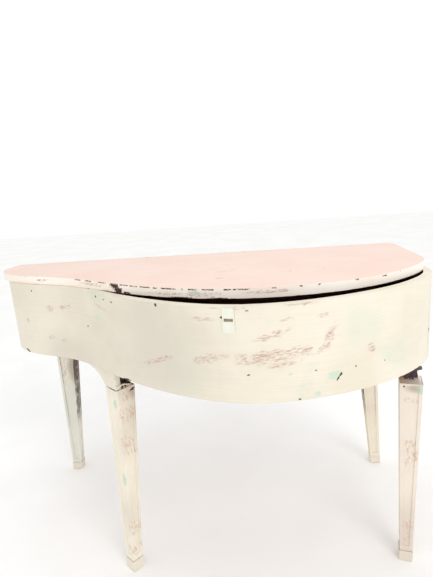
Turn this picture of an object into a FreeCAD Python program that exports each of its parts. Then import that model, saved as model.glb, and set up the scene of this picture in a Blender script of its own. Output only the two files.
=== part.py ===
"""Lift-lid case table with a grand-piano plan: a deep bent rim on four tapered legs.

Millimetres. Origin on the floor, under the middle of the table's length and depth.
+Z is up, +X runs along the straight back towards the wide end, +Y points at the back.
Plan places are given as (along, forward): along from the tail end of the lid,
forward from the back face of the case.
"""
import FreeCAD, Part
import math
import os

Vector = FreeCAD.Vector
UP = Vector(0, 0, 1)

# Driving dimensions. Each one is set by itself; everything else is worked out from them.
DIMENSIONS = {
    # overall
    "table_length": 1180.0,
    "table_depth": 549.0,
    "table_height": 760.0,
    "lid_thickness": 21.0,
    "rim_height": 206.5,
    "rim_wall": 18.0,
    "glue_line": 0.1,
    # plan of the rim, tail end: along from the tail, forward from the back
    "tail_overhang": 26.0,
    "tail_straight": 99.0,
    "shoulder_along": 79.0,
    "shoulder_forward": 186.0,
    "waist_along": 254.0,
    "waist_forward": 268.0,
    "sway_along": 376.0,
    "sway_forward": 360.0,
    "swell_along": 554.0,
    "swell_drop": 62.0,
    # plan of the rim, wide end: back from the wide end, drop from the belly's front
    "belly_from_end": 453.0,
    "flank_from_end": 235.0,
    "flank_drop": 35.0,
    "cheek_from_end": 61.0,
    "cheek_drop": 142.0,
    "end_straight": 294.0,
    # how far the lid's edge stands behind the rim's outer face at the same places
    "shoulder_setback": 4.0,
    "waist_setback": 5.0,
    "sway_setback": 23.0,
    "swell_setback": 47.0,
    "belly_setback": 61.0,
    "flank_setback": 48.0,
    "cheek_setback": 47.0,
    "end_setback": 1.0,
    "lid_tail_radius": 28.0,
    "lid_end_radius": 40.0,
    "lid_rest_gap": 0.3,
    # case
    "bottom_thickness": 12.0,
    "bottom_recess": 10.0,
    "corner_block_leg": 34.0,
    "corner_block_margin": 8.0,
    # legs
    "neck_drop": 48.0,
    "neck_side": 24.0,
    "neck_fit": 0.1,
    "neck_to_rim": 1.5,
    "leg_top_side": 53.0,
    "leg_foot_side": 28.5,
    "leg_block_side": 58.0,
    "leg_block_height": 32.0,
    "panel_depth": 2.0,
    "panel_margin": 8.0,
    "panel_top_rail": 11.0,
    "panel_bottom_rail": 14.0,
    "cuff_height": 27.0,
    "cuff_proud": 1.5,
    "cuff_fit": 0.1,
    "front_left_along": 379.0,
    "front_right_from_end": 23.0,
    "back_left_along": 132.0,
    "back_right_from_end": 85.0,
    "front_left_splay": 82.0,
    "front_left_lean": 6.0,
    "front_left_turn": 0.0,
    "front_right_splay": 48.0,
    "front_right_lean": -16.0,
    "front_right_turn": 19.0,
    "back_splay_side": 47.0,
    "back_splay_rear": 50.0,
    # bracket beside the front left leg: its reach from the neck's middle towards the tail
    "bracket_reach": 110.0,
    "bracket_lip": 5.0,
    "bracket_end_inset": 3.0,
    # the cove's middle point, as shares of its run and its drop
    "cove_middle_run": 0.40,
    "cove_middle_drop": 0.36,
    # hinges
    "hinge_inset": 210.0,
    "leaf_length": 64.0,
    "leaf_width": 16.0,
    "leaf_thickness": 1.5,
    "knuckle_radius": 3.2,
    "knuckle_side_gap": 0.3,
    "pin_radius": 1.5,
    "pin_running_gap": 0.05,
    "leaf_fit": 0.1,
    # where a leaf's screws stand, as shares of its length and width
    "leaf_screw_spread": 0.33,
    "leaf_screw_inset": 0.55,
    # screws
    "hinge_screw_radius": 1.6,
    "hinge_screw_head_radius": 3.2,
    "hinge_screw_length": 14.0,
    "block_screw_radius": 2.0,
    "block_screw_head_radius": 4.0,
    "block_screw_length": 38.0,
    "block_screw_inset": 6.8,
    # a screw's tip as a share of its shank
    "screw_tip_share": 0.2,
    "screw_fit": 0.05,
    # keyhole plate on the belly
    "plate_from_end": 475.0,
    "plate_width": 25.0,
    "plate_height": 52.0,
    "plate_thickness": 1.6,
    "plate_below_top": 2.5,
    "keyhole_width": 19.0,
    "keyhole_height": 7.0,
    "keyhole_below_top": 24.0,
    "keyhole_depth": 9.0,
    "plate_nail_radius": 1.0,
    "plate_nail_head_radius": 2.2,
    "plate_nail_length": 12.0,
}

document = FreeCAD.newDocument("LiftLidTable")
sheet = document.addObject("Spreadsheet::Sheet", "Dimensions")
for row, (alias, value) in enumerate(DIMENSIONS.items(), start=1):
    sheet.set("A%d" % row, alias)
    sheet.set("B%d" % row, str(value))
    sheet.setAlias("B%d" % row, alias)
document.recompute()


def size(alias):
    return float(sheet.get(alias))


def box_feature(label, base):
    """A Part::Box whose sizes and place are bound to the sheet by expressions."""
    box = document.addObject("Part::Box", label)
    box.Label = label
    for name, expression in base.items():
        box.setExpression(name, expression)
    return box


def feature(label, shape, placement=None):
    """A sub-part whose shape is worked out here from the sheet's values."""
    piece = document.addObject("Part::Feature", label)
    piece.Label = label
    piece.Shape = shape
    piece.Placement = placement or FreeCAD.Placement()
    return piece


def prism(face, bottom, height):
    """The solid that stands on the plan face from bottom up."""
    solid = face.copy()
    solid.translate(Vector(0, 0, bottom))
    return solid.extrude(Vector(0, 0, height))


def cylinder(radius, length, start, direction):
    return Part.makeCylinder(radius, length, start, direction)


# Overall places
LENGTH = size("table_length")
DEPTH = size("table_depth")
LID_TOP = size("table_height")
LID_BOTTOM = LID_TOP - size("lid_thickness")
RIM_TOP = LID_BOTTOM - size("lid_rest_gap")
RIM_BOTTOM = RIM_TOP - size("rim_height")
BOARD_BOTTOM = RIM_BOTTOM + size("bottom_recess")
BOARD_TOP = BOARD_BOTTOM + size("bottom_thickness")
LEG_TOP = RIM_BOTTOM - size("neck_drop")


def neck_inset(turn=0.0):
    """From the rim's outer face to the neck's centre, for a leg turned by some degrees."""
    angle = math.radians(turn)
    reach = size("neck_side") / 2 * (math.cos(angle) + math.sin(abs(angle)))
    return size("rim_wall") + size("neck_to_rim") + reach


NECK_INSET = neck_inset()

# The splayed back feet reach behind the back face, so the frame's middle lies behind the case's.
FOOT_HALF = size("leg_foot_side") / 2 + size("cuff_proud")
REAR_REACH = max(0.0, size("back_splay_rear") + FOOT_HALF - NECK_INSET)
BACK = (DEPTH - REAR_REACH) / 2


def plan(along, forward, height=0.0):
    """A point of the frame from its place along the table and in front of the back face."""
    return Vector(along - LENGTH / 2, BACK - forward, height)


# ---------------------------------------------------------------- plan outlines

def front_places():
    """Named places on the rim's curved front, each with the lid's setback there."""
    return [
        (size("shoulder_along"), size("shoulder_forward"), size("shoulder_setback")),
        (size("waist_along"), size("waist_forward"), size("waist_setback")),
        (size("sway_along"), size("sway_forward"), size("sway_setback")),
        (size("swell_along"), DEPTH - size("swell_drop"), size("swell_setback")),
        (LENGTH - size("belly_from_end"), DEPTH, size("belly_setback")),
        (LENGTH - size("flank_from_end"), DEPTH - size("flank_drop"), size("flank_setback")),
        (LENGTH - size("cheek_from_end"), DEPTH - size("cheek_drop"), size("cheek_setback")),
    ]


def smooth_curve(points):
    """A smooth curve that leaves the tail end and meets the wide end square on."""
    travelled = [0.0]
    for before, after in zip(points, points[1:]):
        travelled.append(travelled[-1] + before.distanceToPoint(after))
    curve = Part.BSplineCurve()
    curve.interpolate(Points=points, Parameters=travelled, Scale=False,
                      InitialTangent=Vector(0, -1, 0), FinalTangent=Vector(0, 1, 0))
    return curve


def outward_normal(curve, parameter):
    tangent = curve.tangent(parameter)[0]
    return Vector(tangent.y, -tangent.x, 0).normalize()


RIM_CURVE = smooth_curve([plan(size("tail_overhang"), size("tail_straight"))]
                         + [plan(along, forward) for along, forward, _ in front_places()]
                         + [plan(LENGTH, size("end_straight"))])
CURVE_SAMPLES = 28


def case_face(inset, back_inset=0.0):
    """The plan of the case, its curved front and its ends moved inward by inset."""
    curve = RIM_CURVE
    if inset:
        first, last = RIM_CURVE.FirstParameter, RIM_CURVE.LastParameter
        steps = [first + (last - first) * index / CURVE_SAMPLES for index in range(CURVE_SAMPLES + 1)]
        curve = smooth_curve([RIM_CURVE.value(step) - outward_normal(RIM_CURVE, step) * inset
                              for step in steps])
    tail = size("tail_overhang") + inset
    right = LENGTH - inset
    edges = [
        Part.makeLine(plan(tail, back_inset), curve.StartPoint),
        curve.toShape(),
        Part.makeLine(curve.EndPoint, plan(right, back_inset)),
        Part.makeLine(plan(right, back_inset), plan(tail, back_inset)),
    ]
    return Part.Face(Part.Wire(edges))


def lid_face():
    tail_radius = size("lid_tail_radius")
    end_radius = size("lid_end_radius")
    right = LENGTH - size("end_setback")
    start = (0.0, size("tail_straight") - size("tail_overhang"))
    end = (right, size("end_straight") - size("cheek_setback"))
    curve = smooth_curve([plan(*start)]
                         + [plan(along, forward - back) for along, forward, back in front_places()]
                         + [plan(*end)])
    bevel = 1 - math.sqrt(0.5)
    end_arc = Part.Arc(plan(right, end_radius),
                       plan(right - bevel * end_radius, bevel * end_radius),
                       plan(right - end_radius, 0))
    tail_arc = Part.Arc(plan(tail_radius, 0),
                        plan(bevel * tail_radius, bevel * tail_radius),
                        plan(0, tail_radius))
    edges = [
        Part.makeLine(plan(0, tail_radius), plan(*start)),
        curve.toShape(),
        Part.makeLine(plan(*end), plan(right, end_radius)),
        end_arc.toShape(),
        Part.makeLine(plan(right - end_radius, 0), plan(tail_radius, 0)),
        tail_arc.toShape(),
    ]
    return Part.Face(Part.Wire(edges))


GLUED_IN = size("rim_wall") + size("glue_line")
OUTER = case_face(0.0)
INNER = case_face(size("rim_wall"), size("rim_wall"))
SCRIBED = case_face(GLUED_IN, GLUED_IN)
LID_PLAN = lid_face()


def rim_normal_at(along):
    """The point of the rim's front face at a place along the table, and its outward normal."""
    x = along - LENGTH / 2
    low, high = RIM_CURVE.FirstParameter, RIM_CURVE.LastParameter
    while high - low > 1e-6:
        middle = (low + high) / 2
        if RIM_CURVE.value(middle).x < x:
            low = middle
        else:
            high = middle
    return RIM_CURVE.value(low), outward_normal(RIM_CURVE, low)


# ---------------------------------------------------------------- legs and what holds them

def leg_places():
    """Each leg's name, the plan point of its neck, its outward direction and its splay."""
    places = {}
    for name, along in (("front_left", size("front_left_along")),
                        ("front_right", LENGTH - size("front_right_from_end"))):
        point, normal = rim_normal_at(along)
        turn = size(name + "_turn")
        outward = FreeCAD.Rotation(UP, turn).multVec(normal)
        splay = Vector(size(name + "_lean"), -size(name + "_splay"), 0)
        places[name] = (point - normal * neck_inset(turn), outward, splay)
    inset = NECK_INSET
    rear = Vector(0, 1, 0)
    sideways = size("back_splay_side")
    backwards = size("back_splay_rear")
    places["back_left"] = (plan(size("back_left_along"), inset), rear, Vector(-sideways, backwards, 0))
    places["back_right"] = (plan(LENGTH - size("back_right_from_end"), inset), rear,
                            Vector(sideways, backwards, 0))
    return places


def square_wire(centre, outward, half_out, half_side, shift=0.0):
    """A rectangle turned so that one side faces outward, moved outward by shift."""
    side = Vector(-outward.y, outward.x, 0)
    middle = centre + outward * shift
    corners = [middle + outward * (a * half_out) + side * (b * half_side)
               for a, b in ((-1, -1), (1, -1), (1, 1), (-1, 1))]
    return Part.makePolygon(corners + corners[:1])


class LegLine:
    """The straight tapered run of one leg: its centre and its side at any height."""

    def __init__(self, top, outward, splay):
        self.top = top
        self.outward = outward
        self.splay = splay

    def centre(self, height):
        drop = (LEG_TOP - height) / LEG_TOP
        point = self.top + self.splay * drop
        return Vector(point.x, point.y, height)

    def side(self, height):
        drop = (LEG_TOP - height) / LEG_TOP
        return size("leg_top_side") + (size("leg_foot_side") - size("leg_top_side")) * drop

    def taper(self, low, high, grow=0.0):
        """The leg's own square taper between two heights, grown on every side."""
        wires = [square_wire(self.centre(height), self.outward,
                             self.side(height) / 2 + grow, self.side(height) / 2 + grow)
                 for height in (low, high)]
        return Part.makeLoft(wires, True, True)

    def panel(self, facing):
        """The shallow tapered recess in the face that looks along facing."""
        reach = size("leg_top_side")
        low = size("cuff_height") + size("panel_bottom_rail")
        high = LEG_TOP - size("panel_top_rail")
        wires = []
        for height in (low, high):
            half = self.side(height) / 2
            shift = half - size("panel_depth") + reach
            wires.append(square_wire(self.centre(height), facing, reach, half - size("panel_margin"), shift))
        return Part.makeLoft(wires, True, True)

    def facings(self):
        side = Vector(-self.outward.y, self.outward.x, 0)
        return [self.outward, side, self.outward * -1, side * -1]


def neck_box(line, low, high, grow=0.0):
    half = size("neck_side") / 2 + grow
    wire = square_wire(Vector(line.top.x, line.top.y, low), line.outward, half, half)
    return Part.Face(wire).extrude(Vector(0, 0, high - low))


NECK_TOP = BOARD_TOP + size("leg_block_height")
LEGS = {name: LegLine(*place) for name, place in leg_places().items()}


def make_leg(name, line):
    leg = line.taper(0, LEG_TOP)
    for facing in line.facings():
        leg = leg.cut(line.panel(facing))
    neck = neck_box(line, LEG_TOP, NECK_TOP)
    return feature("leg_" + name, leg.fuse(neck).removeSplitter())


def make_cuff(name, line):
    height = size("cuff_height")
    outside = line.taper(0, height, size("cuff_proud"))
    inside = line.taper(0, height, size("cuff_fit"))
    return feature("leg_cuff_" + name, outside.cut(inside))


def block_screw_places(line):
    """Where the two screws of a leg block stand, on the side away from the rim."""
    side = Vector(-line.outward.y, line.outward.x, 0)
    reach = size("leg_block_side") / 2 - size("block_screw_inset")
    inward = line.outward * -reach
    return [line.top + inward + side * reach, line.top + inward - side * reach]


def screw(head_top, direction, radius, head_radius, length):
    """A countersunk wood screw: a cone head, a shank and a short point."""
    head_height = head_radius - radius
    point_length = radius * 2
    shank_length = length - head_height - point_length
    head = Part.makeCone(head_radius, radius, head_height, head_top, direction)
    shank_start = head_top + direction * head_height
    shank = cylinder(radius, shank_length, shank_start, direction)
    tip = radius * size("screw_tip_share")
    shank_end = shank_start + direction * shank_length
    point = Part.makeCone(radius, tip, point_length, shank_end, direction)
    return head.fuse([shank, point]).removeSplitter()


def block_screws(grow=0.0):
    solids = []
    for line in LEGS.values():
        for place in block_screw_places(line):
            top = Vector(place.x, place.y, NECK_TOP + grow)
            solids.append(screw(top, UP * -1, size("block_screw_radius") + grow,
                                size("block_screw_head_radius") + grow,
                                size("block_screw_length") + 2 * grow))
    return solids


BLOCK_SCREW_HOLES = block_screws(size("screw_fit"))
NECK_HOLES = [neck_box(line, BOARD_BOTTOM - 1, NECK_TOP + 1, size("neck_fit")) for line in LEGS.values()]


def make_leg_block(name, line):
    half = size("leg_block_side") / 2
    wire = square_wire(Vector(line.top.x, line.top.y, 0), line.outward, half, half)
    block = prism(Part.Face(wire).common(SCRIBED), BOARD_TOP, size("leg_block_height"))
    return feature("leg_block_" + name, block.cut(NECK_HOLES + BLOCK_SCREW_HOLES).removeSplitter())


# ---------------------------------------------------------------- hinges

PIN_Y = BACK + size("knuckle_radius")
PIN_Z = RIM_TOP + size("lid_rest_gap") / 2
KNUCKLES = 5
ALONG_THE_BACK = FreeCAD.Rotation(Vector(0, 1, 0), 90)


def hinge_centres():
    inset = size("hinge_inset")
    return {"left": inset - LENGTH / 2, "right": LENGTH / 2 - inset}


def leaf_box(centre_x, low, high, grow=0.0):
    half = size("leaf_length") / 2 + grow
    width = size("leaf_width")
    base = Vector(centre_x - half, BACK - width - grow, low)
    return Part.makeBox(2 * half, width + size("knuckle_radius") + grow, high - low, base)


def hinge_leaf(centre_x, low, high, own_knuckles):
    """A flat leaf with its own knuckles round the pin, cleared from the other leaf's."""
    length = size("leaf_length")
    step = length / KNUCKLES
    start = centre_x - length / 2
    gap = size("knuckle_side_gap") / 2
    radius = size("knuckle_radius")
    leaf = leaf_box(centre_x, low, high)
    for index in range(KNUCKLES):
        left = start + index * step
        right = left + step
        if index in own_knuckles:
            if index > 0:
                left += gap
            if index < KNUCKLES - 1:
                right -= gap
            knuckle = cylinder(radius, right - left, Vector(left, PIN_Y, PIN_Z), Vector(1, 0, 0))
            leaf = leaf.fuse(knuckle)
        else:
            left -= gap
            right += gap
            room = radius + size("lid_rest_gap")
            leaf = leaf.cut(cylinder(room, right - left, Vector(left, PIN_Y, PIN_Z), Vector(1, 0, 0)))
    bore = cylinder(size("pin_radius") + size("pin_running_gap"), length,
                    Vector(start, PIN_Y, PIN_Z), Vector(1, 0, 0))
    return leaf.cut(bore).removeSplitter()


def hinge_screw_places(centre_x):
    spread = size("leaf_length") * size("leaf_screw_spread")
    middle = BACK - size("leaf_width") * size("leaf_screw_inset")
    return [Vector(centre_x + offset, middle, 0) for offset in (-spread, 0, spread)]


def hinge_screws(start_z, direction, grow=0.0):
    solids = []
    for centre_x in hinge_centres().values():
        for place in hinge_screw_places(centre_x):
            top = Vector(place.x, place.y, start_z) - direction * grow
            solids.append(screw(top, direction, size("hinge_screw_radius") + grow,
                                size("hinge_screw_head_radius") + grow,
                                size("hinge_screw_length") + 2 * grow))
    return solids


CASE_LEAF_LOW = RIM_TOP - size("leaf_thickness")
LID_LEAF_HIGH = LID_BOTTOM + size("leaf_thickness")
CASE_SCREW_HOLES = hinge_screws(RIM_TOP, UP * -1, size("screw_fit"))
LID_SCREW_HOLES = hinge_screws(LID_BOTTOM, UP, size("screw_fit"))


def knuckle_clearance(centre_x):
    """The room round one hinge's knuckles, cut out of the boards beside them."""
    grow = size("leaf_fit")
    length = size("leaf_length") + 2 * grow
    return cylinder(size("knuckle_radius") + size("lid_rest_gap"), length,
                    Vector(centre_x - length / 2, PIN_Y, PIN_Z), Vector(1, 0, 0))


def make_hinges():
    for name, centre_x in hinge_centres().items():
        case_leaf = hinge_leaf(centre_x, CASE_LEAF_LOW, RIM_TOP, (0, 2, 4))
        lid_leaf = hinge_leaf(centre_x, LID_BOTTOM, LID_LEAF_HIGH, (1, 3))
        feature("hinge_case_leaf_" + name, case_leaf.cut(CASE_SCREW_HOLES).removeSplitter())
        feature("hinge_lid_leaf_" + name, lid_leaf.cut(LID_SCREW_HOLES).removeSplitter())
        start = Vector(centre_x - size("leaf_length") / 2, PIN_Y, PIN_Z)
        pin = document.addObject("Part::Cylinder", "hinge_pin_" + name)
        pin.Label = "hinge_pin_" + name
        pin.setExpression("Radius", "Dimensions.pin_radius")
        pin.setExpression("Height", "Dimensions.leaf_length")
        pin.Placement = FreeCAD.Placement(start, ALONG_THE_BACK)
    feature("hinge_screws_case", Part.makeCompound(hinge_screws(RIM_TOP, UP * -1)))
    feature("hinge_screws_lid", Part.makeCompound(hinge_screws(LID_BOTTOM, UP)))


# ---------------------------------------------------------------- keyhole plate

PLATE_POINT, PLATE_OUT = rim_normal_at(LENGTH - size("plate_from_end"))
PLATE_SEAT = PLATE_POINT - PLATE_OUT * (size("plate_thickness") / 2)


def plate_block(width, height, below_top, inward, outward, grow=0.0):
    """A block square to the belly's face at the plate, hung below the rim's top."""
    side = Vector(-PLATE_OUT.y, PLATE_OUT.x, 0)
    middle = PLATE_SEAT + PLATE_OUT * ((outward - inward) / 2)
    half_out = (inward + outward) / 2
    wire = square_wire(Vector(middle.x, middle.y, RIM_TOP - below_top - height - grow), PLATE_OUT,
                       half_out, width / 2 + grow)
    return Part.Face(wire).extrude(Vector(0, 0, height + 2 * grow))


def plate_nails(grow=0.0):
    solids = []
    edge = size("plate_nail_head_radius") * 2
    for drop in (edge, size("plate_height") - edge):
        head = PLATE_SEAT + PLATE_OUT * size("plate_thickness")
        start = Vector(head.x, head.y, RIM_TOP - size("plate_below_top") - drop) + PLATE_OUT * grow
        solids.append(screw(start, PLATE_OUT * -1, size("plate_nail_radius") + grow,
                            size("plate_nail_head_radius") + grow,
                            size("plate_nail_length") + 2 * grow))
    return solids


PLATE_NAIL_HOLES = plate_nails(size("screw_fit"))


def make_plate():
    plate = plate_block(size("plate_width"), size("plate_height"), size("plate_below_top"),
                        0, size("plate_thickness"))
    keyhole = plate_block(size("keyhole_width"), size("keyhole_height"), size("keyhole_below_top"),
                          1, size("plate_thickness") + 1)
    feature("keyhole_plate", plate.cut([keyhole] + PLATE_NAIL_HOLES).removeSplitter())
    feature("keyhole_plate_nails", Part.makeCompound(plate_nails()))


# ---------------------------------------------------------------- case and lid

def make_rim():
    ring = prism(OUTER, RIM_BOTTOM, size("rim_height")).cut(prism(INNER, RIM_BOTTOM, size("rim_height")))
    wall = size("rim_wall")
    left = size("tail_overhang") + wall
    corner = plan(left, wall, RIM_BOTTOM)
    back_gap = Part.makeBox(LENGTH - wall - left, wall, size("rim_height"), corner)
    seat = plate_block(size("plate_width"), size("plate_height"), size("plate_below_top"),
                       0, size("plate_width"), size("leaf_fit"))
    keyhole = plate_block(size("keyhole_width"), size("keyhole_height"), size("keyhole_below_top"),
                          size("keyhole_depth"), size("plate_width"))
    feature("rim", ring.cut([back_gap, seat, keyhole] + PLATE_NAIL_HOLES).removeSplitter())


def make_back_board():
    """The straight back: a box between the rim's ends, housed for the hinge leaves."""
    board = box_feature("back_board_blank", {
        "Length": "Dimensions.table_length - Dimensions.tail_overhang - 2 * Dimensions.rim_wall"
                  " - 2 * Dimensions.glue_line",
        "Width": "Dimensions.rim_wall",
        "Height": "Dimensions.rim_height",
    })
    document.recompute()
    corner = plan(size("tail_overhang") + size("rim_wall") + size("glue_line"), size("rim_wall"), RIM_BOTTOM)
    board.Placement = FreeCAD.Placement(corner, FreeCAD.Rotation())
    housings = []
    for centre_x in hinge_centres().values():
        housings.append(leaf_box(centre_x, CASE_LEAF_LOW, RIM_TOP + 1, size("leaf_fit")))
        housings.append(knuckle_clearance(centre_x))
    tools = feature("back_board_housings", Part.makeCompound(housings + CASE_SCREW_HOLES))
    cut = document.addObject("Part::Cut", "back_board")
    cut.Label = "back_board"
    cut.Base = board
    cut.Tool = tools
    cut.Placement = FreeCAD.Placement()
    return cut


def make_bottom_board():
    board = prism(SCRIBED, BOARD_BOTTOM, size("bottom_thickness"))
    feature("bottom_board", board.cut(NECK_HOLES + BLOCK_SCREW_HOLES).removeSplitter())


def make_corner_blocks():
    """Upright three-cornered glue blocks where the back board meets the rim's ends."""
    leg = size("corner_block_leg")
    wall = size("rim_wall")
    gap = size("glue_line")
    low = BOARD_TOP
    height = RIM_TOP - size("corner_block_margin") - low
    for name, corner_along, sense in (("tail", size("tail_overhang") + wall + gap, 1),
                                      ("wide_end", LENGTH - wall - gap, -1)):
        corners = [plan(corner_along, wall + gap), plan(corner_along + sense * leg, wall + gap),
                   plan(corner_along, wall + gap + leg)]
        face = Part.Face(Part.makePolygon(corners + corners[:1]))
        feature("corner_block_" + name, prism(face, low, height))


def make_bracket():
    """The coved bracket under the rim, flush with the front left leg's outer face.

    It passes in front of the neck and sweeps out towards the tail."""
    line = LEGS["front_left"]
    toward_tail = Vector(line.outward.y, -line.outward.x, 0)
    if toward_tail.x > 0:
        toward_tail = toward_tail * -1
    half = size("leg_top_side") / 2
    thickness = half - size("neck_side") / 2 - size("glue_line")
    reach = size("bracket_reach")
    lip = size("bracket_lip")
    low = size("neck_drop") - size("glue_line")
    far_end = size("bracket_end_inset") - half
    start = line.top + line.outward * (half - thickness)

    def at(run, fall):
        return start + toward_tail * run + Vector(0, 0, RIM_BOTTOM - fall)

    middle = at(half + (reach - half) * size("cove_middle_run"), low * size("cove_middle_drop"))
    edges = [
        Part.makeLine(at(far_end, 0), at(reach, 0)),
        Part.makeLine(at(reach, 0), at(reach, lip)),
        Part.Arc(at(reach, lip), middle, at(half, low)).toShape(),
        Part.makeLine(at(half, low), at(far_end, low)),
        Part.makeLine(at(far_end, low), at(far_end, 0)),
    ]
    face = Part.Face(Part.Wire(edges))
    feature("knee_bracket_front_left", face.extrude(line.outward * thickness))


def make_lid():
    panel = prism(LID_PLAN, LID_BOTTOM, size("lid_thickness"))
    housings = []
    for centre_x in hinge_centres().values():
        housings.append(leaf_box(centre_x, LID_BOTTOM - 1, LID_LEAF_HIGH, size("leaf_fit")))
        housings.append(knuckle_clearance(centre_x))
    feature("lid", panel.cut(housings + LID_SCREW_HOLES).removeSplitter())


make_rim()
make_back_board()
make_bottom_board()
make_corner_blocks()
make_bracket()
make_plate()
for leg_name, leg_line in LEGS.items():
    make_leg(leg_name, leg_line)
    make_cuff(leg_name, leg_line)
    make_leg_block(leg_name, leg_line)
feature("leg_block_screws", Part.makeCompound(block_screws()))
make_hinges()
make_lid()
document.recompute()

# Check every object, then write one file for each sub-part.
HELPERS = ("Dimensions", "back_board_blank", "back_board_housings")
for item in document.Objects:
    if "Invalid" in item.State or "Error" in item.State:
        raise RuntimeError("%s did not recompute" % item.Label)
SUB_PARTS = [item for item in document.Objects if item.Name not in HELPERS]
os.makedirs("parts", exist_ok=True)
for item in SUB_PARTS:
    if item.Shape.isNull() or not item.Shape.isValid():
        raise RuntimeError("%s has no valid shape" % item.Label)
for item in SUB_PARTS:
    item.Shape.exportStep("parts/%s.step" % item.Label)
    print("%-28s %3d solids %12.0f mm3" % (item.Label, len(item.Shape.Solids), item.Shape.Volume))
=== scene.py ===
"""The looks of the piano-shaped lift-lid table: old cream paint over mint over brown wood.

Metres, in the part's own frame: the floor is z = 0, +X runs towards the wide end,
+Y points at the straight back. MM turns millimetres into metres.
"""
import bmesh
import bpy
import math
from functools import partial
from mathutils import Matrix, Vector, noise


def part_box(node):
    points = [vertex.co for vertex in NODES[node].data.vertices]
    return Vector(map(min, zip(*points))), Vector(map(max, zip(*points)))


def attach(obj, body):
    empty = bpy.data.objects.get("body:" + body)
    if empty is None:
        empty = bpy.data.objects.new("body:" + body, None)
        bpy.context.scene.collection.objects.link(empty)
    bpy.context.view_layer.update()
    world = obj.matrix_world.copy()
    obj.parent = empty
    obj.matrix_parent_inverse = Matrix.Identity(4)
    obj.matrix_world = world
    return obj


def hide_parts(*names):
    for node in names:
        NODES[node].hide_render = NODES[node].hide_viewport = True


MM = 0.001
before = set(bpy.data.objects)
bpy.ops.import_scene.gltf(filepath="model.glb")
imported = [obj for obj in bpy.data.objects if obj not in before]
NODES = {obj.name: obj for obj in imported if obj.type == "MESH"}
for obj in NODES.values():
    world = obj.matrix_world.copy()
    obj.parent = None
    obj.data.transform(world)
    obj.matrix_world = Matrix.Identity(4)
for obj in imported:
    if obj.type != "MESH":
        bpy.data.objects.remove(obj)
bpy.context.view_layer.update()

RIM_LOW, RIM_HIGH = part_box("rim")[0].z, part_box("rim")[1].z
LID_LOW, LID_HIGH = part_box("lid")[0].z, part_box("lid")[1].z

# Wood and oil paint both bend light about this much.
DRY_IOR = 1.5
# A face is upright when its normal rises less than this, and a front when it points back less.
UPRIGHT_RISE = 0.6
FRONT_LIMIT = 0.35
# nearest_spot: a share too large to count, and a reach in mm that goes through the whole table.
FAR = 9.0
THROUGH = 3000.0
# Pores are this share of the grain's length and width.
PORE_SHARE = 0.25
# Settings that many nodes share.
SMOOTH = {"interpolation_type": "SMOOTHSTEP"}
COLOURS = {"data_type": "RGBA"}
COLOUR_RESULT = 2


# ---------------------------------------------------------------- shader helpers

def colour(code):
    """An sRGB hex code as the linear colour Blender works in."""
    parts = [int(code[i:i + 2], 16) / 255 for i in (0, 2, 4)]
    linear = [p / 12.92 if p <= 0.04045 else ((p + 0.055) / 1.055) ** 2.4 for p in parts]
    return (*linear, 1.0)


def add(tree, kind, values=(), output=0, **settings):
    """Adds one node with its settings and links, and gives one of its outputs.

    values fills the inputs, in order or by key, with numbers or with other nodes' outputs."""
    item = tree.nodes.new("ShaderNode" + kind)
    for name, value in settings.items():
        setattr(item, name, value)
    for key, value in values.items() if isinstance(values, dict) else enumerate(values):
        if isinstance(value, bpy.types.NodeSocket):
            tree.links.new(value, item.inputs[key])
        else:
            item.inputs[key].default_value = value
    return item.outputs[output] if item.outputs else None


def blotches(place, size_mm, detail=3.0, roughness=0.55):
    """The inputs of a noise whose blotches are about size_mm across."""
    return {"Vector": place, "Scale": 1 / (size_mm * MM), "Detail": detail, "Roughness": roughness}


def streaks(place, lengths_mm):
    """The inputs that squeeze a place, so that noise on it runs along the largest length."""
    return {"Vector": place, "Scale": [1 / (length * MM) for length in lengths_mm]}


def nearest_spot(tree, place, faces, spots):
    """How far the place is from the nearest spot, as a share of that spot's size.

    A spot is (x, other, half width, half height, tilt in degrees) in mm. Spots listed under
    "side" are on the upright front faces, where other is the height. Those under "top" are
    on flat faces, where other is y. faces gives, for each kind, 1 on its faces and 0 elsewhere."""
    node = partial(add, tree)
    nearest = FAR
    for kind, listed in spots.items():
        least = FAR
        for x, other, half_wide, half_high, tilt in listed:
            if kind == "side":
                centre, reach = (x, 0, other), (half_wide, THROUGH, half_high)
                turn = (0, math.radians(-tilt), 0)
            else:
                centre, reach = (x, other, 0), (half_wide, half_high, THROUGH)
                turn = (0, 0, math.radians(tilt))
            values = {
                "Vector": place,
                "Location": [c * MM for c in centre],
                "Rotation": turn,
                "Scale": [r * MM for r in reach],
            }
            local = node("Mapping", values, vector_type="TEXTURE")
            length = node("VectorMath", [local], "Value", operation="LENGTH")
            least = node("Math", [least, length], operation="MINIMUM")
        elsewhere = node("Math", [faces[kind], -FAR, FAR], operation="MULTIPLY_ADD")
        least = node("Math", [least, elsewhere], operation="ADD")
        nearest = node("Math", [nearest, least], operation="MINIMUM")
    return nearest


def ragged_spot(tree, place, faces, spots, unevenness, low, high, swing):
    """nearest_spot with an uneven outline: a noise between low and high moves it by swing."""
    uneven = add(tree, "MapRange", [unevenness, low, high, -swing, swing], **SMOOTH)
    near = nearest_spot(tree, place, faces, spots)
    return add(tree, "Math", [near, uneven], operation="ADD")


def new_material(name):
    material = bpy.data.materials.new(name)
    material.use_nodes = True
    material.node_tree.nodes.clear()
    return material, material.node_tree


def finish_material(tree, shade, rough, height, depth_mm=0.25):
    """Closes a wood, paint or plaster material, with its relief depth_mm deep."""
    bump = add(tree, "Bump", {"Height": height, "Strength": 0.6, "Distance": depth_mm * MM})
    values = {"Base Color": shade, "Roughness": rough, "Metallic": 0.0, "IOR": DRY_IOR, "Normal": bump}
    surface = add(tree, "BsdfPrincipled", values)
    add(tree, "OutputMaterial", {"Surface": surface})


# ---------------------------------------------------------------- materials

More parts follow.
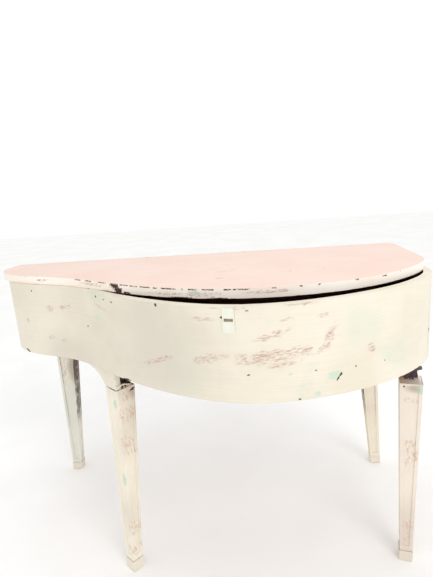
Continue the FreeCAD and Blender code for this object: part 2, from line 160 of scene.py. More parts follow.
def old_wood(name, pale, dark, grain_mm=(160, 5, 5), dust="8A7C6C", dust_share=0.25):
    """Old unfinished joinery wood, sawn and darkened: long grain, faint pores and dust."""
    material, tree = new_material(name)
    node = partial(add, tree)
    place = node("TexCoord", output="Object")
    grain_place = node("Mapping", streaks(place, grain_mm))
    grain = node("TexNoise", {"Vector": grain_place, "Scale": 1.0, "Detail": 6.0, "Distortion": 0.6})
    blotch = node("TexNoise", blotches(place, 70))
    pore_place = node("Mapping", streaks(place, [length * PORE_SHARE for length in grain_mm]))
    speck = node("TexNoise", {"Vector": pore_place, "Scale": 1.0, "Detail": 3.0, "Roughness": 0.55})
    pores = node("MapRange", [speck, 0.62, 0.7], **SMOOTH)

    light = node("MapRange", [grain, 0.35, 0.68], **SMOOTH)
    shade = node("Mix", {0: light, 6: colour(dark), 7: colour(pale)}, COLOUR_RESULT, **COLOURS)
    dusty = node("MapRange", [blotch, 0.45, 0.7], **SMOOTH)
    dusty = node("Math", [dusty, dust_share], operation="MULTIPLY")
    shade = node("Mix", {0: dusty, 6: shade, 7: colour(dust)}, COLOUR_RESULT, **COLOURS)
    dark_pores = node("Math", [pores, 0.5], operation="MULTIPLY")
    shade = node("Mix", {0: dark_pores, 6: shade, 7: colour(dark)}, COLOUR_RESULT, **COLOURS)

    height = node("Math", [grain, pores], operation="SUBTRACT")
    rough = node("MapRange", [blotch, 0.3, 0.8, 0.62, 0.85], **SMOOTH)
    finish_material(tree, shade, rough, height)
    return material


def aged_paint(name, coat, shaded, chips=None, undercoat_spots=None, scuffs=None, stains_and_shade=None,
               undercoat="BFD6C2", timber="5A3A26", scuff="A9877C", stain_and_shade="CFC6B6", arris=0.6,
               edge_dashes=(), edge_band=None, brush=(180, 60, 2.2), speckle=0.80, coat_rough=0.42,
               dark_side_facing=None, scuff_size=(12, 12, 1.6), cloud_spots=0.0, tints=None):
    """Brushed oil paint in three layers on wood: the coat, an undercoat in its chips, then bare timber.

    chips, undercoat_spots, scuffs, stains and tints are spots for nearest_spot; edge_dashes are
    (x from, x to) runs in mm where the arris is worn through, and edge_band is the heights
    between which that wear spreads; dark_side_facing is a direction whose faces are darkened to the timber
    colour."""
    material, tree = new_material(name)
    node = partial(add, tree)
    place = node("TexCoord", output="Object")
    where = node("SeparateXYZ", [place]).node.outputs
    normal = node("NewGeometry", output="Normal")
    points = node("SeparateXYZ", [normal]).node.outputs
    rise = node("Math", [points[2]], operation="ABSOLUTE")
    to_front = node("Math", [points[1], FRONT_LIMIT], operation="LESS_THAN")
    upright = node("Math", [rise, UPRIGHT_RISE], operation="LESS_THAN")
    front = node("Math", [upright, to_front], operation="MULTIPLY")
    flat = node("Math", [1.0, upright], operation="SUBTRACT")
    faces = {"side": front, "top": flat}
    broad = node("TexNoise", blotches(place, 190))
    medium = node("TexNoise", blotches(place, 24, 4.0))
    ragged = node("TexNoise", blotches(place, 5.0, 5.0, 0.7))
    grit = node("TexNoise", blotches(place, 2.2, 2.0))
    brushed = node("Mapping", streaks(place, brush))
    strokes = node("TexNoise", {"Vector": brushed, "Scale": 1.0, "Detail": 3.0})

    # the coat: two tones, brush strokes, and the undercoat showing faintly through
    tone = node("MapRange", [broad, 0.36, 0.66], **SMOOTH)
    shade = node("Mix", {0: tone, 6: colour(coat), 7: colour(shaded)}, COLOUR_RESULT, **COLOURS)
    streak = node("MapRange", [strokes, 0.3, 0.75, 0.975, 1.02], **SMOOTH)
    grey = node("CombineColor", [streak, streak, streak])
    shade = node("Mix", {0: 1.0, 6: shade, 7: grey}, COLOUR_RESULT, blend_type="MULTIPLY", **COLOURS)
    thin = node("TexNoise", blotches(place, 60, 4.0))
    thin = node("MapRange", [thin, 0.55, 0.75], **SMOOTH)
    thin = node("Math", [thin, cloud_spots], operation="MULTIPLY")
    shade = node("Mix", {0: thin, 6: shade, 7: colour(undercoat)}, COLOUR_RESULT, **COLOURS)
    if tints:
        uneven = node("TexNoise", blotches(place, 40, 4.0))
        near = ragged_spot(tree, place, faces, tints, uneven, 0.2, 0.8, 0.3)
        share = node("MapRange", [near, 0.2, 1.2, 0.24, 0.0], **SMOOTH)
        shade = node("Mix", {0: share, 6: shade, 7: colour(undercoat)}, COLOUR_RESULT, **COLOURS)

    # on top of the coat: stained patches, which on the rim's S-curve are painted shade, then scuffs dragged a
    # little off level
    if stains_and_shade:
        uneven = node("TexNoise", blotches(place, 90))
        near = ragged_spot(tree, place, faces, stains_and_shade, uneven, 0.2, 0.8, 0.3)
        share = node("MapRange", [near, 0.1, 1.3, 0.7, 0.0], **SMOOTH)
        shade = node("Mix", {0: share, 6: shade, 7: colour(stain_and_shade)}, COLOUR_RESULT, **COLOURS)
    if scuffs:
        near = ragged_spot(tree, place, faces, scuffs, medium, 0.3, 0.7, 0.35)
        drag = node("Mapping", {"Vector": place, "Rotation": (0.0, math.radians(8), 0.0)})
        drag = node("Mapping", streaks(drag, scuff_size))
        fine = node("TexNoise", {"Vector": drag, "Scale": 1.0, "Detail": 5.0, "Roughness": 0.65})
        fine = node("MapRange", [fine, 0.45, 0.62], **SMOOTH)
        share = node("MapRange", [near, 0.5, 1.25, 0.85, 0.0], **SMOOTH)
        share = node("Math", [share, fine], operation="MULTIPLY")
        shade = node("Mix", {0: share, 6: shade, 7: colour(scuff)}, COLOUR_RESULT, **COLOURS)

    # what has come off it: specks, flakes down to the undercoat, chips down to the timber
    under = node("MapRange", [ragged, speckle - 0.02, speckle + 0.02, 0.0, 0.4], **SMOOTH)
    bare = node("MapRange", [ragged, speckle + 0.012, speckle + 0.03], **SMOOTH)
    if undercoat_spots:
        near = ragged_spot(tree, place, faces, undercoat_spots, ragged, 0.25, 0.75, 0.5)
        flake = node("MapRange", [near, 0.75, 1.05, 0.8, 0.0], **SMOOTH)
        under = node("Math", [under, flake], operation="MAXIMUM")
    if chips:
        near = ragged_spot(tree, place, faces, chips, ragged, 0.25, 0.75, 0.55)
        rim_of_chip = node("MapRange", [near, 0.95, 1.2, 0.35, 0.0], **SMOOTH)
        under = node("Math", [under, rim_of_chip], operation="MAXIMUM")
        chip = node("MapRange", [near, 0.85, 0.97, 1.0, 0.0], **SMOOTH)
        bare = node("Math", [bare, chip], operation="MAXIMUM")

    # wear along the edges
    edge = node("Attribute", output="Fac", attribute_name="arris")
    if edge_band:
        low, high = edge_band
        above = node("Math", [where[2], low], operation="GREATER_THAN")
        below = node("Math", [where[2], high], operation="LESS_THAN")
        band = node("Math", [above, below], operation="MULTIPLY")
        band = node("Math", [band, upright], operation="MULTIPLY")
        edge = node("Math", [edge, band], operation="MAXIMUM")
    worn = node("TexNoise", blotches(place, 9.0))
    worn = node("MapRange", [worn, arris, arris + 0.05], **SMOOTH)
    if edge_dashes:
        dashes = 0.0
        for start, end in edge_dashes:
            off = node("Math", [where[0], (start + end) / 2 * MM], operation="SUBTRACT")
            off = node("Math", [off], operation="ABSOLUTE")
            dash = node("Math", [off, (end - start) / 2 * MM], operation="LESS_THAN")
            dashes = node("Math", [dashes, dash], operation="MAXIMUM")
        broken = node("TexNoise", blotches(place, 3.0, 4.0, 0.65))
        broken = node("MapRange", [broken, 0.44, 0.5], **SMOOTH)
        dashes = node("Math", [dashes, broken], operation="MULTIPLY")
        worn = node("Math", [worn, dashes], operation="MAXIMUM")
    on_edge = node("MapRange", [edge, 0.35, 0.6], **SMOOTH)
    worn = node("Math", [worn, on_edge], operation="MULTIPLY")
    if edge_dashes:
        worn = node("Math", [worn, to_front], operation="MULTIPLY")
    bare = node("Math", [bare, worn], operation="MAXIMUM")

    # a whole side turned this way is darkened to the timber colour, from a little above the foot up
    if dark_side_facing:
        facing = node("VectorMath", [normal, dark_side_facing], "Value", operation="DOT_PRODUCT")
        facing = node("MapRange", [facing, 0.55, 0.75], **SMOOTH)
        above_foot = node("MapRange", [where[2], 0.16, 0.26], **SMOOTH)
        facing = node("Math", [facing, above_foot], operation="MULTIPLY")
        patchy = node("MapRange", [medium, 0.25, 0.6, 0.25, 0.9], **SMOOTH)
        facing = node("Math", [facing, patchy], operation="MULTIPLY")
        bare = node("Math", [bare, facing], operation="MAXIMUM")

    dark = node("MapRange", [grit, 0.35, 0.65], **SMOOTH)
    timber_shade = node("Mix", {0: dark, 6: colour(timber), 7: colour("2B1B14")}, COLOUR_RESULT, **COLOURS)
    shade = node("Mix", {0: under, 6: shade, 7: colour(undercoat)}, COLOUR_RESULT, **COLOURS)
    shade = node("Mix", {0: bare, 6: shade, 7: timber_shade}, COLOUR_RESULT, **COLOURS)

    # the relief is the paint's thickness that is left, and its brush strokes
    coat_lost = node("Math", [under, 0.35], operation="MULTIPLY")
    all_lost = node("Math", [bare, 0.65], operation="MULTIPLY")
    lost = node("Math", [coat_lost, all_lost], operation="ADD")
    film = node("Math", [1.0, lost], operation="SUBTRACT")
    ridges = node("Math", [strokes, 0.3], operation="MULTIPLY")
    height = node("Math", [film, ridges], operation="ADD")
    rough = node("Math", [bare, 0.35, coat_rough], operation="MULTIPLY_ADD")
    finish_material(tree, shade, rough, height)
    return material


def worn_metal(name, bright, tarnish, rough=0.42):
    """Old steel hardware: dull grey metal with brown tarnish."""
    material, tree = new_material(name)
    node = partial(add, tree)
    place = node("TexCoord", output="Object")
    blotch = node("TexNoise", blotches(place, 6.0, 4.0))
    grain = node("TexNoise", blotches(place, 0.8, 2.0))
    rust = node("MapRange", [blotch, 0.46, 0.62], **SMOOTH)
    shade = node("Mix", {0: rust, 6: colour(bright), 7: colour(tarnish)}, COLOUR_RESULT, **COLOURS)
    roughness = node("MapRange", [rust, 0.0, 1.0, rough, 0.8], **SMOOTH)
    bump = node("Bump", {"Height": grain, "Strength": 0.4, "Distance": 0.05 * MM})
    rusted = node("Math", [rust, 0.8], operation="MULTIPLY")
    metal = node("Math", [1.0, rusted], operation="SUBTRACT")
    values = {"Base Color": shade, "Roughness": roughness, "Metallic": metal, "Normal": bump}
    surface = node("BsdfPrincipled", values)
    node("OutputMaterial", {"Surface": surface})
    return material


def rim_z(above):
    """A height on the rim, mm above its bottom edge."""
    return RIM_LOW / MM + above


def lid_z(above):
    """A height on the lid, mm above its underside."""
    return LID_LOW / MM + above


RIM_CHIPS = {"side": [
    (337, rim_z(44), 5.5, 2.0, 55), (331, rim_z(36), 5.5, 1.9, 50), (149, rim_z(63), 3.4, 1.6, 20),
    (437, rim_z(52), 1.6, 2.4, 0), (370, rim_z(55), 1.8, 1.8, 0), (285, rim_z(62), 2.2, 1.3, 0),
    (250, rim_z(3), 3, 2, 0), (-142, rim_z(2), 8, 3, 0), (-152, rim_z(1), 5, 2, 0),
    (-42, rim_z(201), 2.8, 3.6, 0), (-260, rim_z(110), 2.0, 3.2, 0),
    (-445, rim_z(188), 2.4, 2.2, 0), (-215, rim_z(196), 2.2, 3.0, 0), (-190, rim_z(192), 2.0, 1.6, 0),
    (-165, rim_z(190), 3.0, 1.6, 0), (-500, rim_z(4), 9, 3.4, -20), (152, rim_z(198), 4.0, 0.9, 0),
    (110, rim_z(184), 11, 4.2, 0), (573, rim_z(72), 2.4, 5.0, 0), (582, rim_z(40), 3.0, 8.0, 0),
]}
RIM_UNDERCOAT = {"side": [
    (324, rim_z(46), 17, 9, 10), (287, rim_z(9), 8, 6, 0), (119, rim_z(166), 10, 12, 0),
    (119, rim_z(198), 10, 5, 0), (232, rim_z(60), 5, 3, 0), (580, rim_z(70), 5, 26, 0),
]}
RIM_SCUFFS = {"side": [
    (197, rim_z(99), 76, 15, 4), (240, rim_z(108), 40, 10, 4), (72, rim_z(95), 38, 9, 12),
    (190, rim_z(141), 34, 8, 8), (214, rim_z(152), 26, 6, 12), (218, rim_z(82), 34, 6, 4),
    (318, rim_z(134), 10, 26, -18), (300, rim_z(107), 17, 6, 35), (-46, rim_z(76), 46, 5, 22),
    (232, rim_z(176), 16, 5, 8), (300, rim_z(176), 14, 5, 8), (405, rim_z(90), 8, 12, 30),
    (-391, rim_z(141), 14, 9, 20), (-338, rim_z(148), 18, 7, 8), (-400, rim_z(57), 10, 6, 10),
    (-356, rim_z(53), 16, 5, 12), (-478, rim_z(100), 10, 8, 0), (-200, rim_z(170), 20, 4, -20),
    (60, rim_z(180), 22, 4, 0), (250, rim_z(204), 34, 2.5, 0), (120, rim_z(203), 34, 2.5, 0),
]}
RIM_TINTS = {"side": [
    (385, rim_z(140), 60, 60, 0), (110, rim_z(175), 22, 34, 0), (10, rim_z(60), 60, 90, 0),
    (470, rim_z(60), 40, 50, 0),
]}
# Greyer patches on the rim's front. The big one across the S-curve is painted shade, where that curve turns
# away from the light; the one low on the tail makes it darker towards the bottom; the last darkens the wide
# end's corner.
RIM_STAINS_AND_SHADE = {"side": [
    (-60, rim_z(100), 150, 190, 0), (-330, rim_z(20), 130, 60, 0), (585, rim_z(60), 20, 90, 0),
]}
LID_DASHES = [
    (-290, -271), (-256, -236), (-213, -188), (-146, -122), (-118, -97), (-90, -63), (-56, -46), (-36, 0),
    (12, 16), (28, 47), (58, 84), (105, 121), (125, 160), (205, 214), (262, 268), (300, 306), (380, 388),
]
LID_MARKS = {
    "top": [(91, -116, 13, 1.4, -8), (255, -81, 3, 1.5, 0), (-383, -26, 12, 1.8, 25),
            (-402, -14, 8, 1.5, -20), (-160, -122, 9, 3, -30), (-470, 20, 5, 1.6, 10)],
    "side": [(-163, lid_z(15), 13, 8, 0), (-151, lid_z(5), 13, 8, 0), (-128, lid_z(2), 12, 2.2, 0),
             (10, lid_z(1), 30, 1.2, 0), (96, lid_z(1), 22, 1.2, 0), (450, lid_z(17), 5, 1.5, 0)],
}
LID_SCUFFS = {
    "top": [(70, -232, 60, 9, -10), (150, -245, 40, 8, 0), (-140, -140, 50, 8, -32), (330, -72, 12, 5, 0),
            (-20, -200, 50, 7, -25), (-380, -30, 40, 8, 30), (100, -40, 30, 8, 20)],
    "side": [(-30, lid_z(8), 40, 5, 0), (60, lid_z(9), 40, 5, 0), (200, lid_z(12), 60, 5, 0),
             (-240, lid_z(12), 40, 5, 0), (-400, lid_z(12), 30, 5, 0)],
}
LID_UNDERCOAT = {"side": [(40, lid_z(12), 12, 5, 0), (-240, lid_z(12), 10, 4, 0)]}

LID_TOP_BAND = (LID_HIGH - 3.2 * MM, LID_HIGH)
# The grey D3CABC given here is also the painted shade on the rim's S-curve.
cream_case = aged_paint("CreamOilPaint_case_brushed", "E9E1D0", "E2D9C6", RIM_CHIPS, RIM_UNDERCOAT,
                        RIM_SCUFFS, RIM_STAINS_AND_SHADE, stain_and_shade="D3CABC", cloud_spots=0.35,
                        scuff="B98E80", tints=RIM_TINTS)
cream_case_back = aged_paint("CreamOilPaint_back_brushed", "E9E2D2", "DDD5C3", cloud_spots=0.3)
pink_lid = aged_paint("PinkCreamOilPaint_lid_brushed", "F1D6C8", "EED0C0", LID_MARKS, LID_UNDERCOAT,
                      LID_SCUFFS, undercoat="D5DECB", timber="6A3A2C", edge_dashes=LID_DASHES,
                      edge_band=LID_TOP_BAND, arris=0.66, coat_rough=0.4,
                      brush=(260, 4, 40), scuff="C8A08E", scuff_size=(22, 5, 5))
# The lid's sides: cream, a little less pink than its top, and made lighter than the paint's own colour as
# painted light on the sunlit front edge.
lid_edge_painted_light = aged_paint("CreamOilPaint_lid_sides_lightened", "FFF8EE", "F9EDE0", LID_MARKS, LID_UNDERCOAT, LID_SCUFFS,
                      undercoat="C9DACB", timber="5A2C22", edge_dashes=LID_DASHES,
                      edge_band=LID_TOP_BAND, arris=0.66, scuff="B08A7A")
# each leg's darkened side, coat, shaded coat, chips and scuffs
LEG_LOOKS = {
    "front_left": (None, "F1E9D8", "E2DAC9", {"side": [
        (-158, 474, 7, 3.5, 30), (-147, 455, 1.6, 4, 0), (-148, 436, 1.4, 5, 0), (-205, 483, 16, 1.6, 0)]},
        {"side": [(-162, 466, 26, 16, 20), (-172, 415, 20, 24, 40), (-172, 330, 14, 30, 20),
                  (-175, 120, 16, 26, 0), (-176, 60, 18, 14, 0)]}),
    "front_right": (None, "EBE0D2", "DCCFC1", {"side": [
        (560, 452, 2.6, 5, 0), (561, 430, 1.6, 3, 0), (559, 405, 1.6, 2.4, 0), (516, 466, 2.0, 3, 0),
        (556, 370, 1.4, 2, 0)]},
        {"side": [(530, 300, 16, 40, 0), (525, 90, 14, 40, 0), (528, 430, 16, 10, 0)]}),
    "back_left": ((1, 0, 0), "ECE9DC", "DCDBCE", None, {"side": [(-470, 400, 14, 60, 0)]}),
    "back_right": ((-1, 0, 0), "EFE6D3", "E0D6C2", {"side": [(520, 380, 2.2, 2.6, 0)]}, None),
}
LEG_MINT = {"front_right": {"side": [(556, 463, 12, 13, 0), (560, 350, 4, 16, 0)]},
            "front_left": {"side": [(-200, 445, 7, 12, 0), (-190, 250, 7, 16, 0)]}}
LEG_STAINS = {
    "front_left": {"side": [(-146, 468, 26, 26, 0), (-150, 400, 8, 60, 0)]},
    "front_right": {"side": [(537, 462, 22, 12, 0)]},
    "back_left": {"side": [(-440, 420, 20, 90, 0)]},
}
leg_paint = {}
for leg, (facing, coat, shaded, chips, scuffs) in LEG_LOOKS.items():
    leg_paint[leg] = aged_paint("CreamOilPaint_leg_" + leg, coat, shaded, chips, LEG_MINT.get(leg), scuffs,
                                LEG_STAINS.get(leg), stain_and_shade="A8947C",
                                timber="4A3025", scuff="D2B8A2", arris=0.57, brush=(2.2, 2.2, 120),
                                speckle=0.77, dark_side_facing=facing, scuff_size=(6, 6, 14))
cuff_paint = aged_paint("CreamOilPaint_cuffs", "EAE2D2", "DDD3C1", arris=0.62, brush=(2.2, 2.2, 60),
                        speckle=0.78)
plate_paint = aged_paint("PaintedIron_keyhole_plate", "E9E7D8", "E2E6D6", undercoat="C9DACB", timber="3A3A32",
                         arris=0.66, brush=(2.2, 2.2, 40))
dark_timber = old_wood("DarkOldPine_case_boards", "B9835B", "7C5237")
neck_timber = old_wood("BrokenDarkBeech_necks", "4A3036", "20131A", grain_mm=(4, 4, 90), dust="75606A",
                       dust_share=0.3)
block_timber = old_wood("OldPine_glue_blocks", "7A5C42", "4C3626", grain_mm=(5, 5, 90))
hinge_steel = worn_metal("TarnishedSteel_hinges", "8F8B84", "5B4433")
screw_steel = worn_metal("TarnishedSteel_screws", "77736C", "4A382C", 0.5)


# ---------------------------------------------------------------- geometry helpers

# Edges sharper than these stay crisp, or are rounded and worn.
CRISP_EDGE = math.radians(32)
WORN_EDGE = math.radians(35)
# How many points a torn crown has round it.
CROWN_POINTS = 56
# The legs' square tops, and how much of the front right one's shoulder is lost, in mm.
LEG_TOP = 484.2
SHOULDER_LOSS = 14.0

def ragged_at(point, size_mm, seed=0.0):
    """Smooth noise from -1 to 1 with bumps about size_mm across."""
    return noise.noise(Vector(point) / (size_mm * MM) + Vector((seed, seed * 2, seed * 3)))


def finish_piece(name, mesh, materials, body, replaced=()):
    """Makes the object, gives it to its body and hides the CAD nodes it stands for."""
    mesh.normal_update()
    data = bpy.data.meshes.new(name)
    mesh.to_mesh(data)
    mesh.free()
    piece = bpy.data.objects.new(name, data)
    bpy.context.scene.collection.objects.link(piece)
    for material in materials:
        data.materials.append(material)
    piece.data.set_sharp_from_angle(angle=CRISP_EDGE)
    for polygon in data.polygons:
        polygon.use_smooth = True
    even = piece.modifiers.new("flat_faces_shade_flat", "WEIGHTED_NORMAL")
    even.keep_sharp = True
    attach(piece, body)
    for node in replaced:
        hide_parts(node)
    return piece


def board_mesh(node, slices_mm, bevel_mm, axis=0, chip_mm=0.8, seed=1.0, bumps_mm=9.0):
    """A CAD node's mesh with its sharp edges rounded and worn unevenly, sliced along one axis."""
    mesh = bmesh.new()
    mesh.from_mesh(NODES[node].data)
    bmesh.ops.remove_doubles(mesh, verts=mesh.verts, dist=0.02 * MM)
    bmesh.ops.dissolve_limit(mesh, angle_limit=math.radians(0.3), verts=mesh.verts, edges=mesh.edges)
    low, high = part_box(node)
    normal = Vector((0, 0, 0))
    normal[axis] = 1
    steps = int((high[axis] - low[axis]) / (slices_mm * MM))
    for index in range(1, steps):
        place = Vector((0, 0, 0))
        place[axis] = low[axis] + (high[axis] - low[axis]) * index / steps
        everything = mesh.verts[:] + mesh.edges[:] + mesh.faces[:]
        bmesh.ops.bisect_plane(mesh, geom=everything, plane_co=place, plane_no=normal, dist=0.05 * MM)
    sharp = [e for e in mesh.edges if len(e.link_faces) == 2 and e.calc_face_angle(0) > WORN_EDGE
             and e.is_convex]
    layer = mesh.faces.layers.float.new("arris")
    made = bmesh.ops.bevel(mesh, geom=sharp, offset=bevel_mm * MM, segments=2, profile=0.5, affect="EDGES",
                           clamp_overlap=True)
    mesh.normal_update()
    worn = set()
    for face in made["faces"]:
        face[layer] = 1.0
        worn.update(face.verts)
    for vert in worn:
        loss = max(0.0, ragged_at(vert.co, bumps_mm, seed) - 0.15) * chip_mm * MM
        vert.co -= vert.normal * loss
    return mesh


def dent(mesh, centre, reach, depth):
    """Pushes the surface in where it lies within reach of centre (all mm): a knocked-off flake."""
    for vert in mesh.verts:
        away = [(vert.co[i] / MM - centre[i]) / reach[i] for i in range(3)]
        near = 1.0 - math.sqrt(sum(a * a for a in away))
        if near > 0:
            vert.co -= vert.normal * min(1.0, near * 3) * depth * MM


def crown(name, leg, half_low, half_high, low, teeth, materials, seed, thick=2.0):
    """The torn rim of splinters round a broken leg: a ragged sleeve with teeth of uneven height."""
    line_x, line_y, turn = NECKS[leg]
    levels = ((0.0, 0.0), (0.35, 0.0), (0.7, 0.0), (1.0, 0.0), (0.97, thick), (0.3, thick), (0.0, thick))
    mesh = bmesh.new()
    rings = []
    for share, inward in levels:
        ring = []
        for index in range(CROWN_POINTS):
            angle = 2 * math.pi * index / CROWN_POINTS
            corner = 1.0 / max(abs(math.cos(angle)), abs(math.sin(angle)))
            rough_edge = noise.noise(Vector((math.cos(angle) * 3, math.sin(angle) * 3, seed + share * 2)))
            jag = abs(noise.noise(Vector((math.cos(angle) * 6, math.sin(angle) * 6, seed * 3))))
            tall = teeth[0] + (teeth[1] - teeth[0]) * min(1.0, jag * 2.2)
            half = half_low + (half_high - half_low) * share ** 0.6 - inward + rough_edge * 4.0 * share
            out = Vector((math.cos(angle + turn), math.sin(angle + turn), 0)) * (half * min(corner, 1.3) * MM)
            ring.append(mesh.verts.new(Vector((line_x, line_y, (low + tall * share) * MM)) + out))
        rings.append(ring)
    for first, second in zip(rings, rings[1:] + rings[:1]):
        for index in range(CROWN_POINTS):
            after = (index + 1) % CROWN_POINTS
            mesh.faces.new((first[index], first[after], second[after], second[index]))
    bmesh.ops.recalc_face_normals(mesh, faces=mesh.faces)
    finish_piece(name, mesh, materials, "case")


def splinter(name, points, materials, seed, sides=6):
    """A torn sliver of wood: (x, y, z, half width) along it in mm, its surface uneven."""
    mesh = bmesh.new()
    rings = []
    for step, (x, y, z, half) in enumerate(points):
        ring = []
        for index in range(sides):
            angle = 2 * math.pi * index / sides
            uneven = 1.0 + 0.35 * noise.noise(Vector((angle * 2, step * 1.7, seed)))
            across = points[min(step + 1, len(points) - 1)][0] - points[max(step - 1, 0)][0]
            rise = points[min(step + 1, len(points) - 1)][2] - points[max(step - 1, 0)][2]
            tilt = math.atan2(rise, across)
            swing = math.cos(angle)
            local = Vector((-math.sin(tilt) * swing, math.sin(angle), math.cos(tilt) * swing))
            ring.append(mesh.verts.new(Vector((x, y, z)) * MM + local * (half * uneven * MM)))
        rings.append(ring)
    for first, second in zip(rings, rings[1:]):
        for index in range(sides):
            after = (index + 1) % sides
            mesh.faces.new((first[index], first[after], second[after], second[index]))
    mesh.faces.new(rings[0][::-1])
    mesh.faces.new(rings[-1])
    bmesh.ops.recalc_face_normals(mesh, faces=mesh.faces)
    finish_piece(name, mesh, materials, "case")


def set_faces(mesh, index, test):
    """Gives a material to the faces whose middle and normal pass the test."""
    for face in mesh.faces:
        if test(face.calc_center_median(), face.normal):
            face.material_index = index


# ---------------------------------------------------------------- rim, boards and lid

rim = board_mesh("rim", 6.0, 1.6, chip_mm=1.2)


def rim_inside(centre, normal):
    """Faces that look into the case: they turn towards its middle line."""
    middle = Vector((0.15, 0.05, centre.z))
    inward = abs(normal.z) < 0.5 and normal.dot(middle - centre) > 0 and normal.y > -0.2
    return inward and centre.z < RIM_HIGH - 3 * MM


set_faces(rim, 1, rim_inside)
finish_piece("rim_wall", rim, [cream_case, dark_timber], "case", ["rim"])

lid = board_mesh("lid", 6.0, 2.6, chip_mm=1.6, seed=4.0)
dent(lid, (-163, -115, LID_HIGH / MM - 8), (14, 16, 12), 2.2)
set_faces(lid, 1, lambda centre, normal: abs(normal.z) < 0.6)
set_faces(lid, 2, lambda centre, normal: normal.z < -0.6)
finish_piece("lid_panel", lid, [pink_lid, lid_edge_painted_light, dark_timber], "lid", ["lid"])

back = board_mesh("back_board", 30.0, 1.2, seed=2.0)
set_faces(back, 1, lambda centre, normal: normal.y < -0.5)
finish_piece("back_board_panel", back, [cream_case_back, dark_timber], "case", ["back_board"])

# ---------------------------------------------------------------- the two broken leg tops

NECKS = {}
for leg in ("front_left", "front_right"):
    neck = [v.co for v in NODES["leg_" + leg].data.vertices if v.co.z > (LEG_TOP + 2) * MM]
    middle = sum(neck, Vector()) / len(neck)
    corner = max(neck, key=lambda co: co.x) - middle
    NECKS[leg] = (middle.x, middle.y, math.atan2(corner.y, corner.x) - math.radians(45))


def knock_off_shoulder(mesh, leg):
    """Lowers the outer edge of a leg's top, where the wood round its neck has broken away."""
    middle = Vector(NECKS[leg][:2])
    for vert in mesh.verts:
        out = (vert.co.xy - middle).length / MM
        if vert.co.z > (LEG_TOP - 4) * MM and out > 19:
            uneven = 1.0 + 0.3 * ragged_at(vert.co, 9.0, 5.0)
            vert.co.z -= SHOULDER_LOSS * uneven * MM


for leg in LEG_LOOKS:
    shaft = board_mesh("leg_" + leg, 8.0, 1.3, axis=2, chip_mm=1.0, seed=7.0)
    top = LEG_TOP * MM
    if leg == "front_right":
        top -= SHOULDER_LOSS * MM
        knock_off_shoulder(shaft, leg)
    painted_shoulder = leg == "front_right"
    set_faces(shaft, 1, lambda centre, normal: centre.z > top - 1 * MM and not (
        painted_shoulder and (normal.z > 0.4 or centre.z < LEG_TOP * MM)))
    finish_piece("leg_shaft_" + leg, shaft, [leg_paint[leg], neck_timber], "case", ["leg_" + leg])
    cuff = board_mesh("leg_cuff_" + leg, 40.0, 0.8, axis=2, chip_mm=0.3)
    finish_piece("cuff_" + leg, cuff, [cuff_paint], "case", ["leg_cuff_" + leg])

crown("splinters_front_right_base", "front_right", 19.0, 13.5, LEG_TOP - 9, (4, 22), [neck_timber], 3.0)
crown("splinters_front_right_paint", "front_right", 26.0, 19.0, LEG_TOP - SHOULDER_LOSS - 3, (3, 13),
      [leg_paint["front_right"]], 5.0)
crown("splinters_front_right_neck", "front_right", 13.2, 16.5, LEG_TOP + 12, (16, 38), [neck_timber], 8.0)
crown("splinters_front_left_lip", "front_left", 26.2, 23.0, LEG_TOP - 2, (3, 11),
      [leg_paint["front_left"]], 2.0)
crown("splinters_front_left_inner", "front_left", 20.0, 14.5, LEG_TOP - 1, (8, 24), [neck_timber], 6.0)
right_x, right_y = (round(v / MM) for v in NECKS["front_right"][:2])
splinter("splinter_front_right_wing", [
    (right_x - 8, right_y - 12, 499, 5.0), (right_x - 16, right_y - 13, 497, 4.0),
    (right_x - 24, right_y - 13, 492, 3.0), (right_x - 30, right_y - 13, 488, 1.2)], [neck_timber], 1.0)
splinter("splinter_front_right_horn", [
    (right_x - 12, right_y - 12, 504, 3.0), (right_x - 15, right_y - 13, 510, 2.4),
    (right_x - 14, right_y - 13, 517, 1.2)], [neck_timber], 2.0)
splinter("dowel_stub_front_right", [
    (right_x + 10, right_y - 10, 503, 3.0), (right_x + 14, right_y - 12, 507, 4.6),
    (right_x + 18, right_y - 13, 509, 5.0), (right_x + 21, right_y - 13, 510, 3.6)],
    [screw_steel], 4.0, sides=12)
left_x, left_y = (round(v / MM) for v in NECKS["front_left"][:2])
splinter("splinter_front_left_lip", [
    (left_x + 2, left_y - 34, 486, 1.6), (left_x + 8, left_y - 32, 494, 2.2),
    (left_x + 18, left_y - 26, 498, 2.2), (left_x + 28, left_y - 18, 494, 1.2)],
    [leg_paint["front_left"]], 6.0)

bracket = board_mesh("knee_bracket_front_left", 6.0, 1.2, chip_mm=1.0)
finish_piece("knee_bracket", bracket, [leg_paint["front_left"]], "case", ["knee_bracket_front_left"])
plate = board_mesh("keyhole_plate", 20.0, 0.4, chip_mm=0.2)
finish_piece("keyhole_plate_painted", plate, [plate_paint], "case", ["keyhole_plate"])

# the CAD's own meshes that are kept, each with its material
CARRIED = {
    "bottom_board": dark_timber, "corner_block_tail": block_timber, "corner_block_wide_end": block_timber,
    "keyhole_plate_nails": plate_paint, "leg_block_screws": screw_steel,
    "hinge_case_leaf_left": hinge_steel, "hinge_case_leaf_right": hinge_steel,
    "hinge_lid_leaf_left": hinge_steel, "hinge_lid_leaf_right": hinge_steel,
    "hinge_pin_left": hinge_steel, "hinge_pin_right": hinge_steel,
    "hinge_screws_case": screw_steel, "hinge_screws_lid": screw_steel,
}
for leg in LEG_LOOKS:
    CARRIED["leg_block_" + leg] = block_timber
for name, material in CARRIED.items():
    NODES[name].data.materials.clear()
    NODES[name].data.materials.append(material)


# ---------------------------------------------------------------- stage, light and camera

def floor_material():
    material, tree = new_material("PalePlaster_floor")
    node = partial(add, tree)
    place = node("TexCoord", output="Object")
    tone = node("TexNoise", blotches(place, 400))
    share = node("MapRange", [tone, 0.3, 0.7], **SMOOTH)
    ends = {0: share, 6: colour("FDFDFC"), 7: colour("F8F8F7")}
    shade = node("Mix", ends, COLOUR_RESULT, **COLOURS)
    finish_material(tree, shade, 0.9, tone, depth_mm=0.01)
    return material


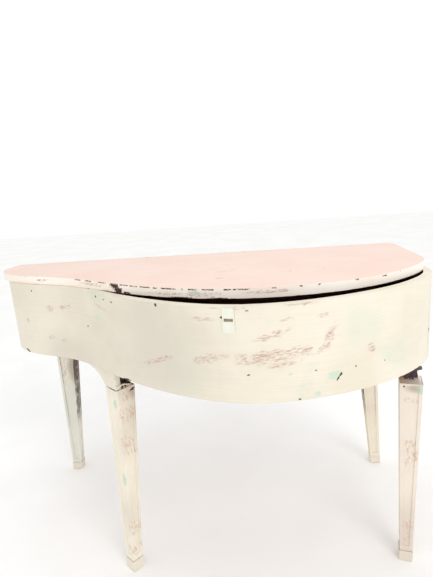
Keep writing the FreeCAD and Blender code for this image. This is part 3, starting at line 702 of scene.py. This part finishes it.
floor_mesh = bmesh.new()
FLOOR_REACH = 9.0
FLOOR_DROP = 0.5 * MM
corners = [floor_mesh.verts.new((x * FLOOR_REACH, y * FLOOR_REACH, -FLOOR_DROP))
           for x, y in ((-1, -1), (1, -1), (1, 1), (-1, 1))]
floor_mesh.faces.new(corners)
floor_data = bpy.data.meshes.new("floor")
floor_mesh.to_mesh(floor_data)
floor_mesh.free()
floor_data.materials.append(floor_material())
floor = bpy.data.objects.new("floor", floor_data)
bpy.context.scene.collection.objects.link(floor)

world = bpy.data.worlds.new("soft_studio")
bpy.context.scene.world = world
world.use_nodes = True
world.node_tree.nodes.clear()
sky = add(world.node_tree, "Background", {"Color": colour("FFFFFF"), "Strength": 1.0})
add(world.node_tree, "OutputWorld", {"Surface": sky})


def soft_light(name, place, target, power, width, height):
    lamp = bpy.data.lights.new(name, "AREA")
    lamp.shape = "RECTANGLE"
    lamp.size = width
    lamp.size_y = height
    lamp.energy = power
    item = bpy.data.objects.new(name, lamp)
    item.location = place
    item.rotation_euler = (Vector(target) - Vector(place)).to_track_quat("-Z", "Y").to_euler()
    bpy.context.scene.collection.objects.link(item)
    return item


soft_light("key_from_front_right", (1.6, -2.2, 2.6), (0.0, 0.0, 0.5), 26.0, 1.6, 1.2)

YAW, PITCH, ROLL = math.radians(5.05), math.radians(13.48), math.radians(4.22)
forward = Vector((-math.sin(YAW) * math.cos(PITCH), math.cos(YAW) * math.cos(PITCH), -math.sin(PITCH)))
right = Vector((math.cos(YAW), math.sin(YAW), 0.0))
down = -right.cross(forward)
turned_right = right * math.cos(ROLL) + down * math.sin(ROLL)
turned_down = -right * math.sin(ROLL) + down * math.cos(ROLL)
lens = bpy.data.cameras.new("view")
lens.sensor_fit = "AUTO"
lens.sensor_width = 36.0
lens.lens = 28.02
lens.clip_end = 50.0
camera = bpy.data.objects.new("view", lens)
bpy.context.scene.collection.objects.link(camera)
camera.matrix_world = Matrix.Translation((0.1710, -1.1321, 0.9799)) @ Matrix(
    (turned_right, -turned_down, -forward)).transposed().to_4x4()
bpy.context.scene.camera = camera
bpy.context.scene.view_settings.view_transform = "Standard"
